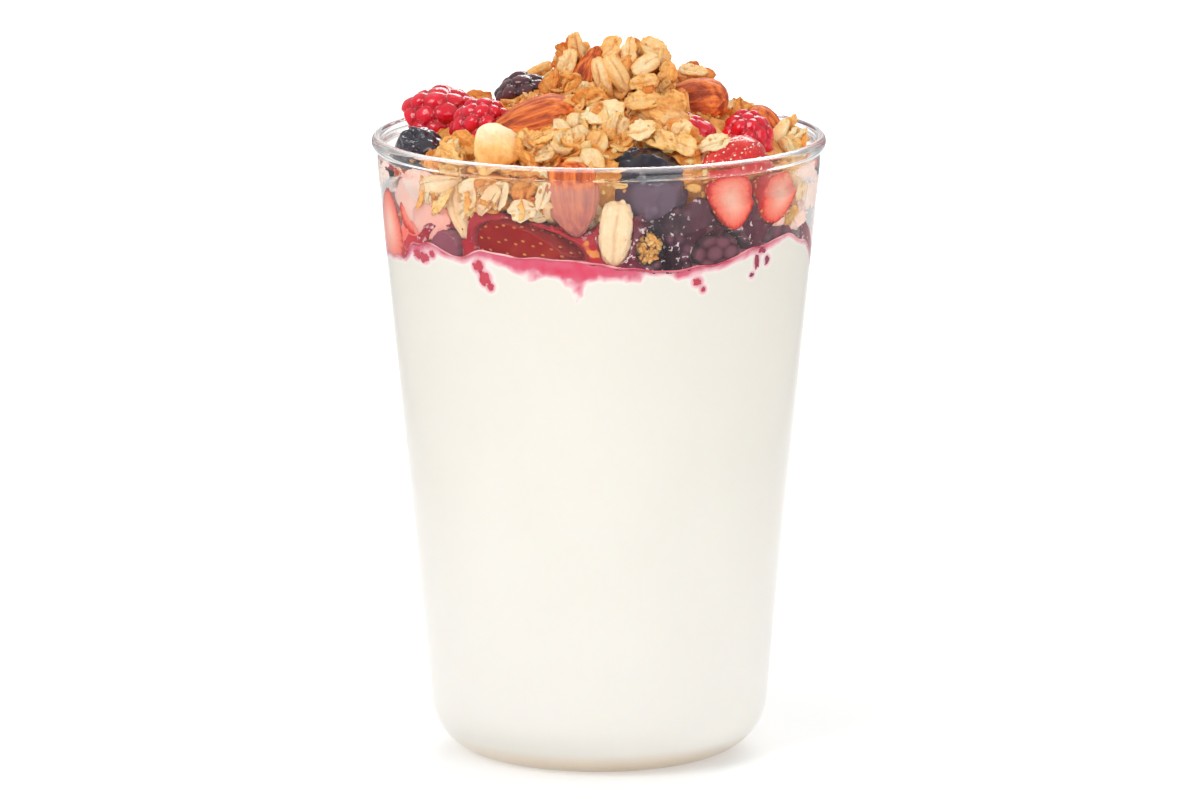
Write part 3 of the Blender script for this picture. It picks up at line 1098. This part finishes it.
def almond_shape(half, seed):
    """A pointed nut with long wrinkles. Also returns the height of the wrinkles."""
    ways, faces = unit_ball(96, 64)
    x = ways[:, 0]
    ridges = roughness_at(ways * (0.55, 3.2, 3.2), 1.6, seed, 3)
    wide = (1 - 0.3 * x) * (1 - 0.25 * np.maximum(x, 0) ** 4) * (1 + 0.05 * ridges)
    wide = wide * (1 + 0.03 * roughness_at(ways, 0.9, seed + 3))
    along = x * half[0] * (1 + 0.01 * ridges)
    points = np.stack([along, ways[:, 1] * half[1] * wide, ways[:, 2] * half[2] * wide], 1)
    return (points, faces), ways, np.clip(0.5 + ridges, 0, 1)


def add_almonds():
    bare, hazy = almond_material("almond_skin", 0.0), almond_material("hazy_almond_skin", 0.7)
    for index, (name, centre, long, face, half) in enumerate(ALMONDS):
        (points, faces), ways, ridges = almond_shape(half, 80 + index)
        points = pressed_to_wall(placed(points, centre, long, face))
        own = ways + (3.0 * index, 0, 0)
        material = hazy if behind_glass(centre) else bare
        add_piece("whole_" + name, (points, faces), [material], [name], own=own, tint=ridges)


def strawberry_surface(ways, half):
    """Where the skin of a strawberry lies in each direction."""
    wide = 1 - STRAWBERRY_TAPER * ways[:, 0]
    return np.stack([ways[:, 0] * half[0], ways[:, 1] * half[1] * wide, ways[:, 2] * half[2] * wide], 1)


def seed_ways(count):
    """Directions spread evenly over a ball in a spiral."""
    steps = np.arange(count) + 0.5
    x = 1 - 2 * steps / count
    turn = steps * math.radians(GOLDEN_ANGLE) + 0.12 * np.sin(steps * 2.7)
    flat = np.sqrt(1 - x * x)
    return np.stack([x, flat * np.cos(turn), flat * np.sin(turn)], 1)


def strawberry_shape(half, seed, low, high):
    """A strawberry kept between two heights along its face, with a dimple for each seed."""
    ways, faces = unit_ball(108, 76)
    seeds = seed_ways(130)
    near = np.arccos(np.clip(ways @ seeds.T, -1, 1)).min(axis=1)
    out = 1 - 0.04 * bump_at(near, 0.1) + 0.03 * roughness_at(ways, 1.1, seed)
    points = strawberry_surface(ways, half) * out[:, None]
    cut_high, cut_low = points[:, 2] > high, points[:, 2] < low
    relief = 0.12 * roughness_at(points, 0.7, seed, 3)
    points[:, 2] = np.where(cut_high, high + relief, np.where(cut_low, low + relief, points[:, 2]))
    indices = (cut_high | cut_low)[faces].all(axis=1).astype(int)
    own = ways.copy()
    own[:, :2] = points[:, :2] / (half[0], half[1])
    own[:, 1] /= np.maximum(1 - STRAWBERRY_TAPER * ways[:, 0], 0.4)
    keep = strawberry_surface(seeds, half)
    inside = (keep[:, 2] < high - 0.2) & (keep[:, 2] > low + 0.2)
    return (points, faces), indices, own, seeds[inside]


def strawberry_seeds(ways, half, size):
    """Small drop-shaped seeds, each set in its dimple and pointing along the fruit."""
    shapes = []
    for way in ways:
        points, faces = unit_ball(8, 6)
        points = points * (0.36 * size, 0.2 * size, 0.2) * (1 - 0.3 * points[:, :1])
        normal = Vector((way[0] / half[0], way[1] / half[1], way[2] / half[2])).normalized()
        along = Vector((1, 0, 0)) - normal * normal.x + Vector((0, 0.01, 0))
        centre = strawberry_surface(way[None], half)[0] * 0.985
        shapes.append((placed(points, centre, along, normal), faces))
    return shapes


def add_strawberries():
    """Halves are cut on one side and slices on two."""
    flesh = strawberry_flesh()
    looks = {}
    for prefix, (gloss, depth, low, high) in STRAWBERRY_LOOKS.items():
        skin = strawberry_skin(prefix + "strawberry_skin", gloss, depth)
        looks[prefix] = skin, seed_material(prefix + "seeds", gloss, low, high)
    halves = [(row, row[4], -99.0, 0.15) for row in STRAWBERRY_HALVES]
    slices = [(row, (row[4][0], row[4][1], row[4][1]), -row[4][2], row[4][2]) for row in STRAWBERRY_SLICES]
    for index, (row, half, low, high) in enumerate([*halves, *slices]):
        name, centre, long, face, _ = row
        sunk = behind_glass(centre)
        shape, indices, own, ways = strawberry_shape(half, 20 + index, low, high)
        points, faces = joined([shape, *strawberry_seeds(ways, half, 1.0 if sunk else 0.7)])
        skin, seeds = looks["steeped_" if name == STEEPED else "sunk_" if sunk else ""]
        far = 2.6 if name == FLAT_AT_GLASS else PRESSED_FROM
        points = pressed_to_wall(placed(points, centre, long, face), far)
        indices = np.concatenate([indices, np.full(len(faces) - len(indices), 2)])
        own = np.concatenate([own, np.zeros((len(points) - len(own), 3))])
        materials = [skin, flesh, seeds]
        add_piece("cut_" + name, (points, faces), materials, [name], own=own, indices=indices)


def add_nut_half():
    """A plump nut, rough all over and flattened towards its face."""
    name, centre, long, face, half = BLANCHED_NUT
    ways, faces = unit_ball(84, 64)
    x = ways[:, 0]
    wide = (0.97 - 0.36 * x) * (1 - 0.25 * np.maximum(x, 0) ** 4) * (1 + 0.09 * roughness_at(ways, 1.3, 5, 2))
    points = np.stack([x * half[0], ways[:, 1] * half[1] * wide, 1.6 * ways[:, 2] * half[2] * wide], 1)
    plateau = 0.45 * half[2]
    points[:, 2] = np.where(points[:, 2] > 0, plateau * np.tanh(points[:, 2] / plateau), points[:, 2])
    points *= (1 + 0.06 * roughness_at(points, 0.45, 3, 5))[:, None]
    points[:, 2] += 0.16 * roughness_at(points, 0.8, 3, 4)
    add_piece("split_nut", (placed(points, centre, long, face), faces), [nut_material()], [name])


def kernel_shape(half, seed, sides=44, rings=34):
    """A puffed oat kernel with a groove down its face. Also returns the ball it was shaped from."""
    ways, faces = unit_ball(sides, rings)
    x, y, z = ways.T
    groove = bump_at(y + 0.08 * np.sin(4 * x + seed), 0.2) * np.clip(1 - x**4, 0, 1) * (z > 0)
    folds = roughness_at(ways * (0.5, 3, 3), 1.5, seed, 3)
    out = 1 + 0.07 * folds + 0.05 * roughness_at(ways, 2.3, seed, 2)
    wide = (1 + 0.1 * x) * out * (1 + 0.45 * x**4)
    points = np.stack([x * half[0] * out, y * half[1] * wide, z * half[2] * wide * (1 - 0.5 * groove)], 1)
    return (points, faces), ways


def add_kernels(material):
    for index, (name, centre, long, face, half) in enumerate(OAT_KERNELS):
        (points, faces), ways = kernel_shape(half, 30 + index, 72, 56)
        points = clamp_to_wall(placed(points, centre, long, face), PRESSED_PROUD)
        tint = np.full(len(points), 0.3 + 0.6 * index)
        add_piece("puffed_" + name, (points, faces), [material], [name], own=ways, tint=tint)


# ---------------------------------------------------------------- granola


def random_way(draw, lowest=-1):
    """A random direction, no lower than lowest."""
    up = draw.uniform(lowest, 1)
    turn = draw.uniform(0, math.tau)
    flat = math.sqrt(1 - up * up)
    return Vector((flat * math.cos(turn), flat * math.sin(turn), up))


def flake_shape(seed, rows, sides, cup=None):
    """A rolled oat flake of about unit half length: ragged, rumpled, creased and curled."""
    draw = random.Random(seed)
    turn = np.arange(sides) * math.tau / sides
    circle = np.stack([np.cos(turn), np.sin(turn), 0 * turn], 1)
    ragged = 1 + 0.17 * roughness_at(circle, 3.0, seed, 3)
    for _ in range(2):
        notch = np.abs((turn - draw.uniform(0, math.tau) + math.pi) % math.tau - math.pi)
        ragged = ragged - draw.uniform(0.05, 0.24) * bump_at(notch, 0.35)
    curl, twist, drawn_cup = draw.uniform(-0.1, 0.34), draw.uniform(-0.22, 0.22), draw.uniform(0.0, 0.3)
    cup = drawn_cup if cup is None else cup
    crease = draw.choice((0.05, 0.16, 0.24))
    under = [(-1, share) for share in np.linspace(0.2, 1, rows)]
    over = [(1, share) for share in np.linspace(1, 0.2, rows)]
    rings = []
    for side, share in [*under, *over]:
        x, y = share * ragged * np.cos(turn), share * ragged * np.sin(turn)
        flat = np.stack([x, y, 0 * x], 1)
        bend = curl * x * x + twist * x * y + cup * y * y - crease * bump_at(y, 0.2) * (1 - x * x)
        bend = bend + 0.15 * roughness_at(flat, 2.2, seed, 2) + 0.045 * roughness_at(flat, 6.0, seed + side)
        thick = 0.17 * math.sqrt(max(0.0, 1 - share**2)) + 0.03
        rings.append(np.stack([x, y, bend + side * thick], 1))
    return ringed(np.array(rings), (0, 0, -crease - 0.15), (0, 0, -crease + 0.15))


def chip_shape(seed):
    """A broken crumb of about unit half size."""
    points, faces = ico_ball(2)
    rough = 1 + 0.5 * roughness_at(points, 1.1, seed, 2)
    return points * rough[:, None] * (1.0, 0.75, 0.5), faces


class Scatter:
    """Gathers copies of a few shapes, to be joined into one piece."""

    def __init__(self, shapes):
        self.shapes = shapes
        self.copies, self.own, self.tint = [], [], []

    def put(self, index, centre, long, face, scale, tint):
        """Adds a copy of one shape, of this size along its axes, and of this shade."""
        points, faces = self.shapes[index % len(self.shapes)]
        self.copies.append((placed(points * scale, centre, long, face), faces))
        self.own.append(points + (0, 0, 0.001 * index))
        self.tint.append(np.full(len(points), tint))

    def drop(self, draw, centre, face, scale, shades=(0, 1)):
        """Adds a copy turned and shaded at random. A scale that is a tuple is a range to draw from."""
        index, long = draw.randrange(99), random_way(draw)
        size = draw.uniform(*scale) if isinstance(scale, tuple) else scale
        self.put(index, centre, long, face, size, draw.uniform(*shades))

    def finish(self, name, material):
        points, faces = joined(self.copies)
        own, tint = np.concatenate(self.own), np.concatenate(self.tint)
        shape = clamp_to_wall(points, PRESSED_PROUD), faces
        add_piece(name, shape, [material], ["granola_heap"], own=own, tint=tint)


def narrowed(size, draw):
    """The scale of a small flake of this half length, narrower by chance."""
    return np.array((size, size * draw.uniform(0.6, 0.85), size))


def in_clump(clump, way, reach=1.0):
    """A place in a clump in this direction, at a share of its half sizes."""
    x, y, z, wide, deep, high = clump[:6]
    return Vector((x + way.x * wide * reach, y + way.y * deep * reach, z + way.z * high * reach))


def clump_directions(clump):
    """Where the larger flakes of a clump lie: place, long axis, face, size and whether it is a kernel."""
    wide, deep, high, count, seed = clump[3:]
    draw = random.Random(seed)
    for index in range(count):
        up = 1 - 1.55 * (index + 0.5) / count
        turn = math.radians(CLUMP_TURN * index + draw.uniform(-25, 25) + 40 * seed)
        flat = math.sqrt(1 - up * up)
        way = Vector((flat * math.cos(turn), flat * math.sin(turn), up))
        normal = Vector((way.x / wide, way.y / deep, way.z / high)).normalized()
        side = normal.orthogonal().normalized()
        side.rotate(Matrix.Rotation(draw.uniform(0, math.tau), 3, normal))
        normal.rotate(Matrix.Rotation(math.radians(draw.uniform(8, 50)), 3, side))
        yield in_clump(clump, way), side, normal, draw.uniform(0.72, 1.1), draw.random() < 0.22


def scatter_on_clump(clump, flakes, chips, draw):
    """Small flakes and crumbs stuck all over the core of a clump."""
    count = clump[6]
    for _ in range(int(2.2 * count)):
        way = random_way(draw, -0.6)
        normal = (way + 0.7 * random_way(draw)).normalized()
        scale = narrowed(draw.uniform(1.5, 2.9), draw)
        flakes.drop(draw, in_clump(clump, way, 0.9), normal, scale)
    for _ in range(5 * count):
        way = random_way(draw, -0.7)
        chips.drop(draw, in_clump(clump, way, draw.uniform(0.86, 1.0)), way, (0.3, 0.95))


def heap_places(count, draw):
    """Places spread evenly over the top and the flank of the bare heap, with the way out at each."""
    for index in range(count):
        radius = SCATTER_RADIUS * math.sqrt((index + 0.5) / count)
        degrees = GOLDEN_ANGLE * index
        z = float(heap_top(np.array([degrees]), np.array([radius]))[0])
        out = Vector(way_out(degrees))
        steep = max(0.0, (radius - 30) / 8)
        yield out * radius + Vector((0, 0, z - steep * 1.5)), (Vector((0, 0, 1)) + steep * out).normalized()
    for index in range(count // 3):
        degrees = GOLDEN_ANGLE * index
        line = float(yogurt_line(np.array([degrees]))[0]) + COMPOTE_AT_WALL
        z = line + 0.6 + (119 - line) * draw.random()
        out = Vector(way_out(degrees))
        yield out * (cavity_radius(z) - draw.uniform(2.4, 4.6)) + Vector((0, 0, z)), out


def crumbs_on_flake(chips, centre, long, face, half, draw):
    """A few crumbs stuck to a large flake, most of them near its edge."""
    for _ in range(5):
        turn, reach = draw.uniform(0, math.tau), draw.uniform(0.5, 0.95)
        local = np.array((math.cos(turn) * half[0], math.sin(turn) * half[1], 0.9)) * (reach, reach, 0.5)
        chips.drop(draw, Vector(placed(local, centre, long, face)), face, (0.25, 0.6), (0, 0.8))


def scatter_clusters(chips, flakes, draw):
    """Small bits fused in each oat cluster at the glass."""
    for _, centre, long, face, half in OAT_CLUSTERS:
        for _ in range(90):
            way = random_way(draw)
            place = placed(np.array(way) * half * draw.uniform(0.6, 0.92), centre, long, face)
            chips.drop(draw, Vector(place), way, (0.45, 0.8), (0.3, 0.9))
        for _ in range(6):
            place = Vector(placed(np.array(random_way(draw)) * half * 0.6, centre, long, face))
            size = draw.uniform(1.2, 1.9)
            flakes.put(draw.randrange(99), place, random_way(draw), random_way(draw), size, draw.random())


def stands_in_view(place):
    """Whether a small flake at this place would hide a topping from the front."""
    tilt = math.radians(CAMERA_ELEVATION)
    away = np.array((0, math.cos(tilt), -math.sin(tilt)))
    probes = np.array(place) + away * np.array([[0.0], [2.0], [4.0], [6.0], [8.0]])
    return depth_in_toppings(probes, 0.8).max() > 0


def scatter_on_heap(flakes, dark_flakes, chips, draw):
    """Small flakes and crumbs all over the heap, but not in the toppings, and lower in front of them."""
    for place, out in heap_places(FLAKES_ON_HEAP, draw):
        if depth_in_toppings(np.array([place]), 0.6)[0] > -0.08:
            continue
        low = stands_in_view(place)
        normal = (out + (0.15 if low else 0.6) * random_way(draw)).normalized()
        scale = narrowed(draw.uniform(1.3, 2.3) if low else draw.uniform(1.8, 3.4), draw)
        into = flakes if draw.random() < 0.5 else dark_flakes
        into.drop(draw, place, normal, scale)
    for place, out in heap_places(CRUMBS_ON_HEAP, draw):
        if depth_in_toppings(np.array([place]), 0.3)[0] > -0.05:
            continue
        size = draw.uniform(0.3, 0.7) if stands_in_view(place) else draw.uniform(0.35, 1.3)
        chips.drop(draw, place + out * 0.3, out, size)


def add_granola():
    """The flakes of the tables, the clumps, and what is scattered between, over the heap's own core."""
    chosen = Scatter([flake_shape(index, 8, 34, row[7]) for index, row in enumerate(FLAKES)])
    large = Scatter([flake_shape(200 + seed, 7, 28) for seed in range(20)])
    flakes = Scatter([flake_shape(300 + seed, 4, 16) for seed in range(16)])
    dark_flakes = Scatter([flake_shape(400 + seed, 4, 16) for seed in range(12)])
    chips = Scatter([chip_shape(seed) for seed in range(12)])
    kernels = Scatter([kernel_shape((1, 1, 1), seed)[0] for seed in range(4)])
    cores = []
    draw = random.Random(7)
    for index, (x, y, z, long, face, half, shade) in enumerate(PLUMP_OATS):
        kernels.put(index, (x, y, z), long, face, np.array(half), shade)
    for index, (x, y, z, long, face, length, width, _, shade) in enumerate(FLAKES):
        chosen.put(index, (x, y, z), long, face, np.array((length, width, length)), shade)
        crumbs_on_flake(chips, (x, y, z), long, Vector(face), (length, width), draw)
    half_flake = np.array((FLAKE_SIZE[0], FLAKE_SIZE[1], FLAKE_SIZE[0])) / 2
    for clump in CLUMPS:
        seed = clump[7]
        points, faces = ico_ball(4)
        rough = 1 + 0.22 * roughness_at(points, 1.7, seed) + 0.16 * roughness_at(points, 4.5, seed, 3)
        cores.append((points * rough[:, None] * clump[3:6] * CLUMP_CORE + clump[:3], faces))
        for index, (place, side, normal, factor, plump) in enumerate(clump_directions(clump)):
            if plump:
                scale = np.array(KERNEL_HALF) * (factor, factor, 1)
                kernels.put(index, place, side, normal, scale, draw.random())
            else:
                large.put(index + seed, place, side, normal, half_flake * factor, draw.random())
                crumbs_on_flake(chips, place, side, normal, half_flake * factor, draw)
        scatter_on_clump(clump, flakes, chips, draw)
    scatter_clusters(chips, dark_flakes, draw)
    scatter_on_heap(flakes, dark_flakes, chips, draw)

    pale, golden = oat_material("pale_oats", *PALE_OATS), oat_material("golden_oats", *GOLDEN_OATS)
    chosen.finish("chosen_flakes", pale)
    large.finish("large_flakes", golden)
    flakes.finish("pale_flakes", pale)
    dark_flakes.finish("golden_flakes", golden)
    chips.finish("granola_crumbs", golden)
    kernels.finish("granola_kernels", pale)
    add_heap_core(cores)
    add_kernels(pale)


def add_heap_core(cores):
    """The heap under the flakes, and the cores of its clumps."""
    angles = angles_round(HEAP_SIDES)
    base = yogurt_line(angles) + COMPOTE_AT_WALL
    edge = cavity_radius(118) - HEAP_FROM_WALL
    top_at_edge = heap_top(angles, np.full(HEAP_SIDES, edge))
    heights = base - HEAP_SUNK + (top_at_edge - base + HEAP_SUNK) * np.linspace(0, 1, 24)[:, None]
    wall = on_wall(angles, heights, -HEAP_FROM_WALL)
    bottom = surface_rings(lambda a, r: compote_top(a, r) - HEAP_SUNK, (12, 24, 33), HEAP_SIDES)
    top = surface_rings(heap_top, np.arange(edge - 0.6, 2, -0.9), HEAP_SIDES)
    rings = np.concatenate([bottom, wall, top])
    flat = rings.reshape(-1, 3)
    rough = 0.7 * roughness_at(flat, 0.45, 3, 2) + 0.4 * roughness_at(flat, 1.3, 8, 2)
    out = flat / from_axis(flat)[:, None]
    flat[:, 2] += rough
    flat[:, :2] += out[:, :2] * rough[:, None] * 0.9
    heap = ringed(flat.reshape(rings.shape), (0, 0, COMPOTE_CENTRE - HEAP_SUNK), (0, 0, HEAP_TOP))
    add_piece("granola_core", joined([heap, *cores]), [core_material()], ["granola_heap"])


# ---------------------------------------------------------------- stage


def add_floor():
    """White paper that glows. Clear glass mirrors it darker in front of the part and beside it."""
    bpy.ops.mesh.primitive_plane_add(size=12)
    floor = bpy.context.object
    floor.name = "floor"
    n = Nodes("white_floor")
    across, depth, _ = n.split(n.place())
    away = n.add("VectorMath", {0: n.place()}, operation="LENGTH").outputs["Value"]
    in_front = n.span(depth, 0.02, -0.12, 0.0, 0.85)
    aside = n.span(n.maths("ABSOLUTE", across), 0.05, 0.2, 0.0, 0.8)
    dim = n.times(n.add("LightPath").outputs["Is Glossy Ray"], n.maths("MAXIMUM", in_front, aside))
    floor.data.materials.append(n.finish(
        Base_Color=n.mix(dim, (0.82, 0.82, 0.82), (0.3, 0.3, 0.3)), Roughness=0.8, Specular_IOR_Level=0.1,
        Emission_Color=n.ramp(away, (0.05, 0.19), (0.25, 0.6)), Emission_Strength=n.less(1.0, dim),
    ))


def add_world():
    """Even as a light. In reflections and through the glass it is bright behind and dim in front,
    and what clear glass mirrors from above is a wide soft box."""
    world = bpy.data.worlds.new("studio")
    bpy.context.scene.world = world
    n = Nodes(world)
    x, y, z = n.split(n.place("Generated"))
    path = n.add("LightPath").outputs
    aside = n.maths("MINIMUM", n.span(x, -0.45, -0.06, 0.4, 1.0), n.span(x, 0.06, 0.4, 1.0, 0.35))
    level = n.times(n.span(y, -0.7, 0.4, SKY_IN_FRONT, SKY_BEHIND), aside)
    above = n.span(z, 0.1, 0.6, 0.0, SKY_ABOVE)
    right, left = n.span(x, 0.3, 0.6, 0.0, SKY_ASIDE), n.span(x, -0.6, -0.3, SKY_ASIDE, 0.0)
    for lowest in (above, right, left):
        level = n.maths("MAXIMUM", level, lowest)
    soft_box = n.times(n.span(z, 0.35, 0.8, 0.0, SKY_OVERHEAD), path["Is Singular Ray"])
    seen = n.maths("MAXIMUM", path["Is Transmission Ray"], path["Is Glossy Ray"])
    strength = n.add("Mix", {0: seen, 2: SKY_LIGHT, 3: n.plus(level, soft_box)}).outputs[0]
    background = n.tree.nodes["Background"].inputs
    n.put(background["Color"], (1, 1, 1))
    n.put(background["Strength"], strength)


def add_lamp(name, place, size, power):
    lamp = bpy.data.lights.new(name, "AREA")
    lamp.shape = "RECTANGLE"
    lamp.size, lamp.size_y = size
    lamp.energy = power
    obj = bpy.data.objects.new(name, lamp)
    obj.location = place
    obj.rotation_euler = (Vector(LAMP_TARGET) - Vector(place)).to_track_quat("-Z", "Y").to_euler()
    bpy.context.scene.collection.objects.link(obj)


def add_camera():
    camera = bpy.data.cameras.new("camera")
    camera.lens = CAMERA_LENS
    camera.sensor_width = CAMERA_SENSOR
    camera.clip_end = 10
    camera.shift_x = (FRAME_CENTRE[0] - AXIS_PIXEL[0]) / FRAME_WIDTH
    camera.shift_y = (AXIS_PIXEL[1] - FRAME_CENTRE[1]) / FRAME_WIDTH
    obj = bpy.data.objects.new("camera", camera)
    tilt = math.radians(CAMERA_ELEVATION)
    obj.location = CAMERA_TARGET + CAMERA_DISTANCE * Vector((0, -math.cos(tilt), math.sin(tilt)))
    obj.rotation_euler = (math.pi / 2 - tilt, 0, 0)
    bpy.context.scene.collection.objects.link(obj)
    bpy.context.scene.camera = obj


def add_stage():
    add_floor()
    add_world()
    add_camera()
    for lamp in LAMPS:
        add_lamp(*lamp)
    scene = bpy.context.scene
    scene.view_settings.view_transform = "Standard"
    scene.cycles.caustics_refractive = False
    scene.cycles.caustics_reflective = False
    scene.cycles.max_bounces = 20
    scene.cycles.glossy_bounces = 12
    scene.cycles.transmission_bounces = 18


def main():
    add_stage()
    add_glass()
    add_yogurt()
    add_compote()
    add_juice_edge()
    add_shreds()
    add_smears()
    raspberry, bramble, sunk_bramble = (drupe_material(*look) for look in DRUPE_LOOKS)
    add_drupes(RASPBERRIES, raspberry, raspberry, 0.02)
    add_drupes(BRAMBLES, bramble, sunk_bramble, 0.028)
    add_blueberries()
    add_almonds()
    add_strawberries()
    add_nut_half()
    add_granola()


main()
